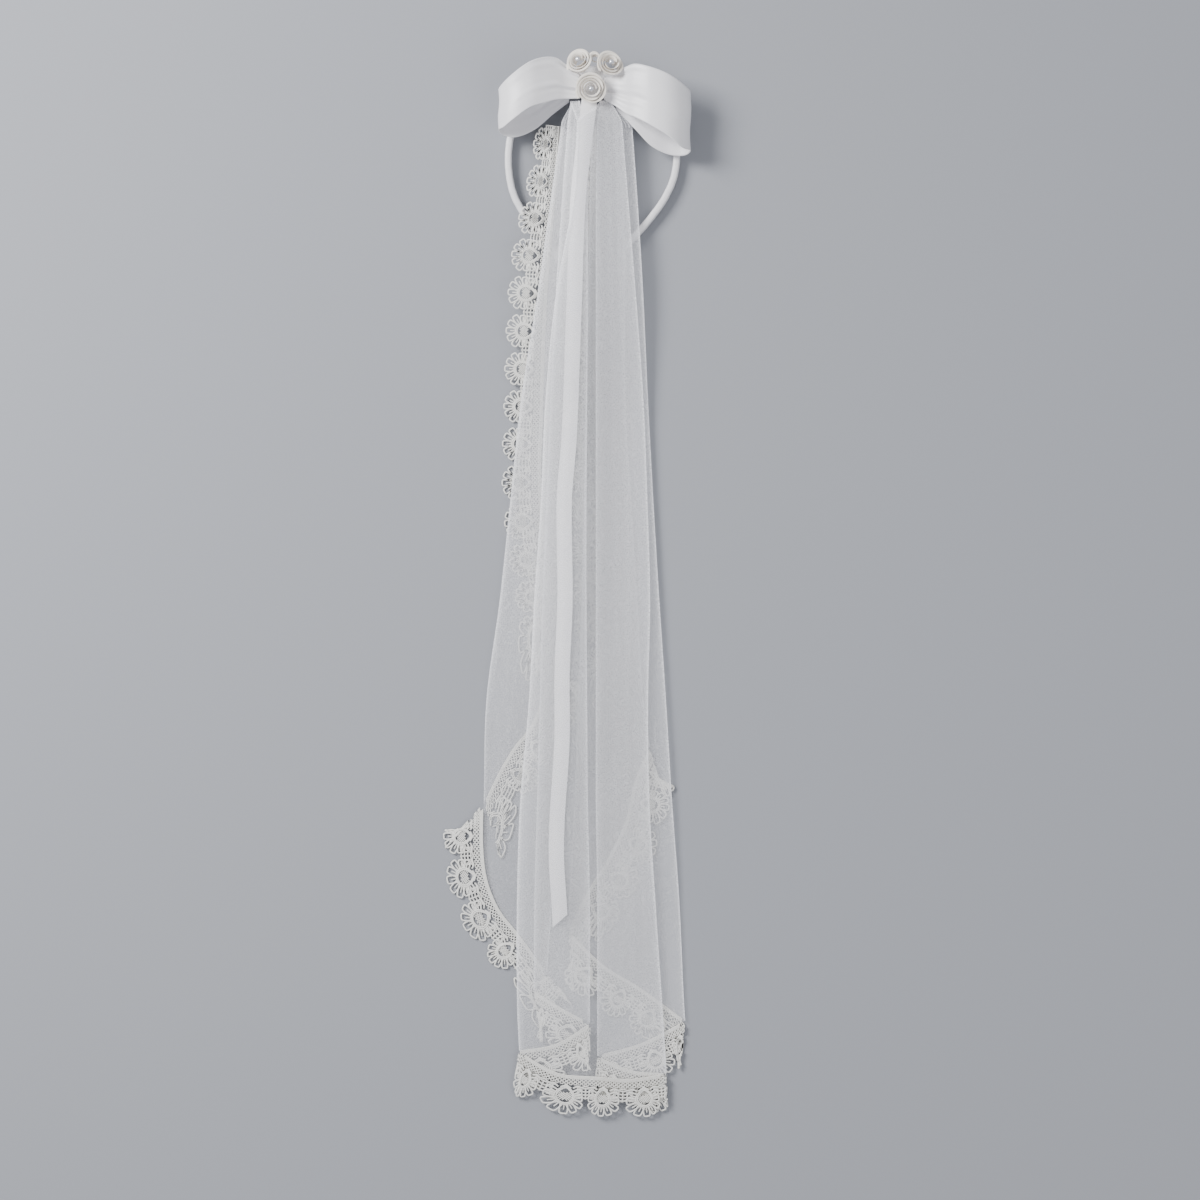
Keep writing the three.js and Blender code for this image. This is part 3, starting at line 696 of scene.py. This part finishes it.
# %% A round cord
SIDES, FLATTENED = 4, 1.25


def tube(path, radius, first):
    travel = np.gradient(path, axis=0)
    travel /= np.maximum(np.linalg.norm(travel, axis=1), 1e-9)[:, None]
    side = np.stack([-travel[:, 1], travel[:, 0], np.zeros(len(path))], axis=1)
    side /= np.maximum(np.linalg.norm(side, axis=1), 1e-9)[:, None]
    turns = [2 * math.pi * (n + 0.5) / SIDES for n in range(SIDES)]
    ring = np.stack([
        path + side * (radius * FLATTENED * math.cos(a)) + np.array([0, 0, radius * math.sin(a)]) for a in turns
    ], axis=1)
    return ring.reshape(-1, 3), grid_faces(len(path), SIDES, first, closed=True)


# %% Carry it along each stretch
HEIGHT_STEP, REACH_OVER = 3, 0.01
for k, seam in enumerate(seams):
    run = seam["run"]
    points, faces = [], []
    table = strip(seam, HEIGHT_STEP)
    heights = height(k, table.reshape(-1, 2)).reshape(-1, 2)
    keep = np.unique(np.append(np.arange(0, len(run), HEIGHT_STEP), len(run) - 1))
    first_repeat = math.floor(run[0] / SCALLOP) - 1
    last_repeat = math.ceil(run[-1] / SCALLOP) + 1
    for n in range(first_repeat, last_repeat + 1):
        for shape, radius in motif:
            along = shape[:, 0] + (n + 0.5) * SCALLOP
            inside = (along >= run[0] - REACH_OVER) & (along <= run[-1] + REACH_OVER)
            if inside.sum() < 2:
                continue
            along, out = along[inside], shape[inside, 1] / LACE_DEPTH
            at = [
                np.interp(along, run, seam[key][:, c]) for key in ("points", "outward") for c in (0, 1)
            ]
            depth = np.interp(along, run, seam["depth"])
            x = at[0] + at[2] * depth * out
            y = at[1] + at[3] * depth * out
            z_in = np.interp(along, run[keep], heights[:, 0])
            z_out = np.interp(along, run[keep], heights[:, 1])
            z = z_in + (z_out - z_in) * out + CORD
            ring, quads = tube(np.stack([x, y, z], axis=1), radius, len(points))
            points.extend(ring)
            faces.extend(quads)
    lace = piece(f"lace_edging_{k}", points, faces, lace_cord)
    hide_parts(f"lace_stretch_{k}")

# %% [markdown]
# ## What the tulle was cut to
# The tulle's length is the veil's own.  Its width is a rounded guess, wider than the
# passes add up to.  The area is measured on the mesh itself, so it isn't a separate
# test of the cut.

# %% [markdown]
# ## The ribbon tail
# A flat length of satin, cut on a slant, that lies under the front pass.  It could be
# a curve with a flat bevel, but then its end couldn't be cut on the slant, so it is a
# grid across its own line, very slightly cupped.

# %% Make the tail
TAIL_COLUMNS, TAIL_LIE, TAIL_CUP = 9, 0.5, 0.18
SLANT_FROM, SLANT_OVER = 84, 7                # stations of the tail's line
shares = np.linspace(-0.5, 0.5, TAIL_COLUMNS)
grid = tail_line[:, None, :] + tail_right[:, None, :] * (shares * TAIL_WIDTH)[None, :, None]
cut = smoothstep((np.arange(len(tail_line)) - SLANT_FROM) / SLANT_OVER)
slant = cut[:, None] * (0.5 - shares)[None, :] * TAIL_POINT
grid = grid + tail_travel[:, None, :] * slant[:, :, None]
z = height("tail", grid.reshape(-1, 2)).reshape(grid.shape[:2]) + TAIL_LIE
z = z + TAIL_CUP * np.cos(shares * math.pi * 2)[None, :]
tail_points = np.dstack([grid, z]).reshape(-1, 3)
tail = piece("satin_tail", tail_points, grid_faces(len(grid), TAIL_COLUMNS), satin)
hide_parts("ribbon_tail")

# %% [markdown]
# ## The headband
# A thin springy band wound with satin ribbon.  A bevelled curve would give a plain
# round bar.  A rounded section carried along the band's own line can also step in a
# little at the edge of each turn of ribbon, and close softly at the two ends.

# %% Make the band
BAND = [
    (-10.9, 249.4), (-25, 268), (-38.6, 285.4), (-46.1, 300.4), (-49.5, 321.4), (-48, 341),
    (-41.6, 361.1), (-27.4, 379.1), (-9.4, 388.1), (13.1, 391.1), (37.1, 388.1), (56.6, 376.9),
    (70.1, 358.9), (76.1, 336.4), (75, 314), (67.5, 295.9), (54.4, 277.9), (40, 262), (25.9, 248.6),
]
BAND_THICK, BAND_TALL, WINDING, WINDING_STEP = 5.4, 8.0, 9.0, 0.05
BAND_STATIONS, STATION_RUN, SECTION_POINTS, SQUARENESS = 420, 0.93, 20, 0.6
END_STATIONS, END_START = 4, 0.6


def squared(value):
    return np.sign(value) * abs(value) ** SQUARENESS


line = smooth_line(BAND, BAND_STATIONS)
travel = np.gradient(line, axis=0)
travel /= np.linalg.norm(travel, axis=1)[:, None]
right = np.stack([-travel[:, 1], travel[:, 0]], axis=1)
turns = np.linspace(0, 2 * math.pi, SECTION_POINTS, endpoint=False)
section = [(squared(math.cos(a)), squared(math.sin(a))) for a in turns]
run = np.arange(len(line)) * STATION_RUN
points = []
for i, p in enumerate(line):
    end = min(1.0, (min(i, len(line) - 1 - i) + END_START) / END_STATIONS) ** 0.5
    for a, (u, v) in zip(turns, section):
        step = 1 - WINDING_STEP * ((run[i] / WINDING + a / (2 * math.pi)) % 1)
        across = right[i] * (u * BAND_THICK / 2 * step * end)
        z = BAND_TALL / 2 + v * BAND_TALL / 2 * step * end
        points.append((p[0] + across[0], p[1] + across[1], z))


def ends(count, total):
    return [tuple(range(count)), tuple(range(total - count, total))]


faces = grid_faces(len(line), SECTION_POINTS, closed=True) + ends(SECTION_POINTS, len(points))
band = piece("satin_band", points, faces, band_satin)
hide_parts("headband")

# %% [markdown]
# ## The bow
# Each loop is a wide satin ribbon that goes out, turns over and comes back.  Pleats
# fan out from the pinched waist and die away towards the end of the loop.  Cloth with
# pressure inside would puff like a cushion, so the loop follows a table of stations.

# %% Make the loops
LOOPS = {                                     # X, Y, Z and the ribbon's width there
    "bow_loop_left": [
        (4, 378, 21.5, 20), (-5, 380, 22.5, 25), (-13, 382, 26, 31), (-22, 380.5, 30, 34),
        (-33, 376.5, 34, 34), (-44, 369, 33, 34), (-52.5, 362.5, 28, 33), (-56.4, 359.5, 21, 30),
        (-53, 357.5, 14.5, 32), (-44, 358.5, 11.6, 36), (-30, 364, 11.4, 36), (-16, 373, 12.4, 31),
        (-4, 379, 14, 25),
    ],
    "bow_loop_right": [
        (22, 377, 21.5, 20), (31, 375.5, 22.5, 27), (38, 373.5, 26, 34), (45, 372.5, 31, 39.5),
        (56, 368, 35.5, 43), (69, 361.5, 35.5, 46), (79.5, 354.5, 30, 48), (86, 351, 22.5, 44),
        (82, 349.5, 15.5, 46), (72, 350, 13.4, 46), (58, 355.5, 15.5, 45), (46, 364, 16.6, 38),
        (31, 375, 14.6, 28),
    ],
}
LOOP_STATIONS, LOOP_COLUMNS, PINCH = 110, 41, 13.0
PLEAT_HEIGHT, ROLL_HEIGHT, ROLL_TURNS = 1.5, 0.5, 7
PLEAT_WAVES, FIRST_WAVE, WAVE_STEP, WAVE_SHIFT = 3, 5, 3.7, 1.7
RIBBON_THICK = 0.0005
for name, stations in LOOPS.items():
    line = smooth_line(stations, LOOP_STATIONS)
    centre, wide = line[:, :3], line[:, 3]
    travel = np.gradient(centre, axis=0)
    travel /= np.linalg.norm(travel, axis=1)[:, None]
    out = np.cross(travel, (0, 1, 0))
    shares = np.linspace(-0.5, 0.5, LOOP_COLUMNS)
    station = np.arange(LOOP_STATIONS)
    near_waist = np.exp(-np.minimum(station, LOOP_STATIONS - 1 - station) / PINCH)
    pleats = sum(
        np.sin((FIRST_WAVE + WAVE_STEP * m) * shares * math.pi + m * WAVE_SHIFT) * (0.8 - 0.2 * m)
        for m in range(PLEAT_WAVES)
    )
    roll = ROLL_HEIGHT * np.sin(shares * ROLL_TURNS)[None, :] * (1 - near_waist)[:, None]
    lift = PLEAT_HEIGHT * near_waist[:, None] * pleats[None, :] + roll
    grid = centre[:, None, :] + shares[None, :, None] * wide[:, None, None] * np.array([0, 1, 0])
    grid = grid + out[:, None, :] * lift[:, :, None]
    ribbon = piece("satin_" + name, grid.reshape(-1, 3), grid_faces(LOOP_STATIONS, LOOP_COLUMNS), satin)
    hem = ribbon.modifiers.new("ribbon", "SOLIDIFY")
    hem.thickness = RIBBON_THICK
    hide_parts(name)
    length = np.linalg.norm(np.diff(centre, axis=0), axis=1).sum()
    print(name, "ribbon length:", round(length), "mm")

# %% [markdown]
# ## The pinched waist
# The loops are drawn together under a few turns of thread, and the roses hide that.
# So the waist is only a low creased drum, which gives the loops and roses a seat.

# %% The pinched waist
WAIST_MIDDLE, WAIST_WIDE, WAIST_TALL, WAIST_POINTS = (13.2, 381), 18, 12.5, 60
CREASES, CREASE_DEPTH = 15, 0.03
WAIST_LEVELS = [(8.3, 0.86), (10, 0.98), (14, 1.0), (18, 0.95), (20.3, 0.7), (20.5, 0.05)]
points = []
for z, share in WAIST_LEVELS:
    for a in np.linspace(0, 2 * math.pi, WAIST_POINTS, endpoint=False):
        crease = 1 + CREASE_DEPTH * math.sin(a * CREASES)
        x = WAIST_MIDDLE[0] + WAIST_WIDE * share * crease * math.cos(a)
        y = WAIST_MIDDLE[1] + WAIST_TALL * share * crease * math.sin(a)
        points.append((x, y, z))
faces = grid_faces(len(WAIST_LEVELS), WAIST_POINTS, closed=True) + ends(WAIST_POINTS, len(points))
waist = piece("satin_waist", points, faces, satin)
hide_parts("bow_waist")

# %% [markdown]
# ## The roses
# A ribbon rose is one ribbon rolled on itself.  Separate petals could be modelled and
# set round a bud, but the real one has no separate petals.  The spiral opens as it
# goes out, and its rim is rolled over in waves, taller and tighter near the eye.

# %% Sizes of the roses
ROSES = [                                     # place in millimetres, turns in degrees
    {"of": "rose_front", "place": (12.6, 374.8, 24.6), "radius": 11.4, "tall": 9,
     "tilt": 8, "towards": -90},
    {"of": "rose_left", "place": (5.0, 393.0, 24.2), "radius": 9.8, "tall": 8.5,
     "tilt": 30, "towards": 130},
    {"of": "rose_right", "place": (25.6, 391.4, 24.2), "radius": 9.8, "tall": 8.5,
     "tilt": 24, "towards": 50},
    {"of": "rose_back", "place": (15.6, 398.4, 13.5), "radius": 4.6, "tall": 5,
     "tilt": 15, "towards": 90},
]
STEPS, RIM, TURNS, BUD_TURNS, BUD_RADIUS = 260, 12, 3.6, 1.6, 6
EYE, EYE_SHARE, OPENING = 3.0, 0.4, 0.92
WAVE_TURNS, WAVE_START, WAVE_TALL = 1.27, 0.4, 1.1
INNER_TALL, LOSES_TALL = 1.02, 0.42
CURL_FROM = 0.62

# %% Roll one ribbon
def rolled_ribbon(radius, tall):
    eye = min(EYE, radius * EYE_SHARE)
    turns = TURNS if radius > BUD_RADIUS else BUD_TURNS
    grid = np.zeros((STEPS, RIM, 3))
    for i in range(STEPS):
        t = i / (STEPS - 1)
        a = t * turns * 2 * math.pi
        petal_wave = abs(math.sin(a * WAVE_TURNS + WAVE_START))
        top = tall * (INNER_TALL - LOSES_TALL * t) + WAVE_TALL * petal_wave
        reach = eye + (radius - eye - 1.6) * t ** OPENING
        for j in range(RIM):
            u = j / (RIM - 1)
            curl = max(0.0, u - CURL_FROM) / (1 - CURL_FROM)
            flare = reach + 0.9 * u * u * (0.3 + t) + curl ** 2 * (0.7 + 1.2 * t * petal_wave)
            rise = top * u - curl ** 2 * (0.9 + 0.9 * t)
            grid[i, j] = (math.cos(a) * flare, math.sin(a) * flare, rise)
    return grid


# %% Place the roses
# The rolls are 5 to 9 mm tall.  A declared sheet can't be narrower than 10 mm.  The
# width stated here is above theirs, and the length is worked back from the mesh's own
# area with an assumed share that shows.
for rose_row in ROSES:
    name = rose_row["of"]
    facing = math.radians(rose_row["towards"])
    axis = Vector((-math.sin(facing), math.cos(facing), 0))
    turn = np.array(Matrix.Rotation(math.radians(rose_row["tilt"]), 3, axis))
    grid = rolled_ribbon(rose_row["radius"], rose_row["tall"])
    placed = grid.reshape(-1, 3) @ turn.T + np.array(rose_row["place"])
    rose = piece("satin_" + name, placed, grid_faces(STEPS, RIM), rose_satin)
    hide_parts(name)

# %% Finish the stones
for name in ("stone_front", "stone_left", "stone_right"):
    stone = bpy.data.objects[name]
    stone.data.materials.clear()
    stone.data.materials.append(crystal)

# %% [markdown]
# ## The studio
# A pale floor, one large soft light high on the left, a weaker one opposite and a
# pale sky.  White cloth on a white floor would lose its edges, so the floor is a light
# grey.  The camera looks straight down with a long lens, so that nothing leans.

# %% Floor
FLOOR_HALF, FLOOR_LEVEL = 4, -0.0004
FLOOR_GREY, FLOOR_ROUGHNESS = (0.33, 0.34, 0.37, 1), 0.9
floor_material, tree, shader = new_material("floor")
shader.inputs["Base Color"].default_value = FLOOR_GREY
shader.inputs["Roughness"].default_value = FLOOR_ROUGHNESS
corners = [(-1, -1), (1, -1), (1, 1), (-1, 1)]
floor_mesh = bpy.data.meshes.new("floor")
floor_mesh.from_pydata(
    [(FLOOR_HALF * x, FLOOR_HALF * y, FLOOR_LEVEL) for x, y in corners], [], [(0, 1, 2, 3)]
)
floor_mesh.materials.append(floor_material)
floor = bpy.data.objects.new("floor", floor_mesh)
bpy.context.collection.objects.link(floor)


# %% Lights
SKY, SKY_STRENGTH = (0.92, 0.94, 1.0, 1), 0.58


def soft_light(name, place, aim, size, watts):
    data = bpy.data.lights.new(name, "AREA")
    data.energy = watts
    data.size = size
    lamp = bpy.data.objects.new(name, data)
    lamp.location = place
    lamp.rotation_euler = (Vector(aim) - Vector(place)).to_track_quat("-Z", "Y").to_euler()
    bpy.context.collection.objects.link(lamp)


soft_light("key", place=(-1.3, 0.9, 1.3), aim=(0, 0, 0), size=0.8, watts=62)
soft_light("fill", place=(1.4, -0.6, 1.6), aim=(0, 0, 0), size=1.6, watts=12)
world = bpy.data.worlds.new("studio")
world.use_nodes = True
world.node_tree.nodes["Background"].inputs["Color"].default_value = SKY
world.node_tree.nodes["Background"].inputs["Strength"].default_value = SKY_STRENGTH
bpy.context.scene.world = world

# %% Camera
AIM = (19.1, -4.9)                            # in the tables' millimetres
SPAN, LENS, SENSOR = 0.9, 100, 36
camera_data = bpy.data.cameras.new("camera")
camera_data.lens = LENS
camera_data.sensor_width = SENSOR
camera = bpy.data.objects.new("camera", camera_data)
camera.location = ((AIM[0] + SHIFT[0]) * MM, (AIM[1] + SHIFT[1]) * MM, SPAN * LENS / SENSOR)
bpy.context.collection.objects.link(camera)
bpy.context.scene.camera = camera
